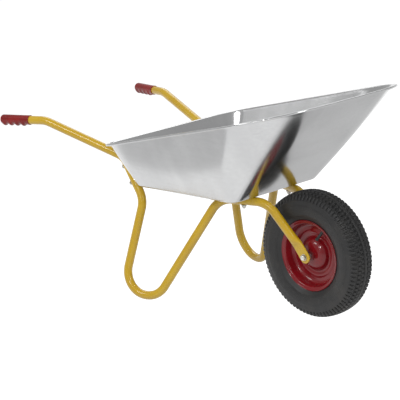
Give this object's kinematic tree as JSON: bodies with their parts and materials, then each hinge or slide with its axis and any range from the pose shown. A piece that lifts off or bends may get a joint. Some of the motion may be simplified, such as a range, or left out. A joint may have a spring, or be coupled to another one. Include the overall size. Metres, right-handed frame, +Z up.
{
  "type": "wheelbarrow",
  "caption": "Single-wheel barrow: a flared sheet-metal tray on two bent tubes that form its handles, legs and fork, with an air-filled wheel that turns on an axle bolt.",
  "frame": {"origin": "on the floor, under the middle of the barrow's overall length, on its plane of symmetry", "axes": "+X forwards from the grips to the wheel, +Y to the left of a user between the handles, +Z up"},
  "size_m": [1.3281, 0.6856, 0.717],
  "materials": {
    "tray_sheet": "bright galvanised sheet, satin with soft broad reflections",
    "frame_paint": "yellow ochre powder coat, glossy",
    "grip_plastic": "dark red moulded plastic, glossy",
    "fixing_zinc": "bright zinc plating",
    "hub_steel": "dull zinc plating",
    "rim_paint": "deep red enamel, very glossy",
    "tyre_rubber": "charcoal rubber, satin",
    "valve_rubber": "black rubber, satin",
    "bush_plastic": "dark red nylon, matt"
  },
  "bodies": {
    "frame": {"tray": "tray_sheet", "right_frame_tube": "frame_paint", "left_frame_tube": "frame_paint", "right_grip": "grip_plastic", "left_grip": "grip_plastic", "right_rear_upper_bolt": "fixing_zinc", "right_rear_upper_washer": "fixing_zinc", "right_rear_upper_nut": "fixing_zinc", "right_rear_lower_bolt": "fixing_zinc", "right_rear_lower_washer": "fixing_zinc", "right_rear_lower_nut": "fixing_zinc", "right_floor_bolt": "fixing_zinc", "right_floor_washer": "fixing_zinc", "right_floor_nut": "fixing_zinc", "left_rear_upper_bolt": "fixing_zinc", "left_rear_upper_washer": "fixing_zinc", "left_rear_upper_nut": "fixing_zinc", "left_rear_lower_bolt": "fixing_zinc", "left_rear_lower_washer": "fixing_zinc", "left_rear_lower_nut": "fixing_zinc", "left_floor_bolt": "fixing_zinc", "left_floor_washer": "fixing_zinc", "left_floor_nut": "fixing_zinc", "right_axle_washer": "fixing_zinc", "left_axle_washer": "fixing_zinc", "right_axle_sleeve": "hub_steel", "left_axle_sleeve": "hub_steel", "axle_bolt": "fixing_zinc", "axle_nut": "fixing_zinc"},
    "wheel": {"right_rim_half": "rim_paint", "left_rim_half": "rim_paint", "right_hub_bush": "bush_plastic", "left_hub_bush": "bush_plastic", "hub_tube": "rim_paint", "tyre": "tyre_rubber", "inner_tube": "valve_rubber", "valve_stem": "valve_rubber", "valve_cap": "valve_rubber"}
  },
  "joints": [
    {"name": "wheel_spin", "type": "hinge", "parent": "frame", "child": "wheel", "pos_m": [0.464, 0, 0.2], "axis": [0, 1, 0], "continuous": true}
  ]
}
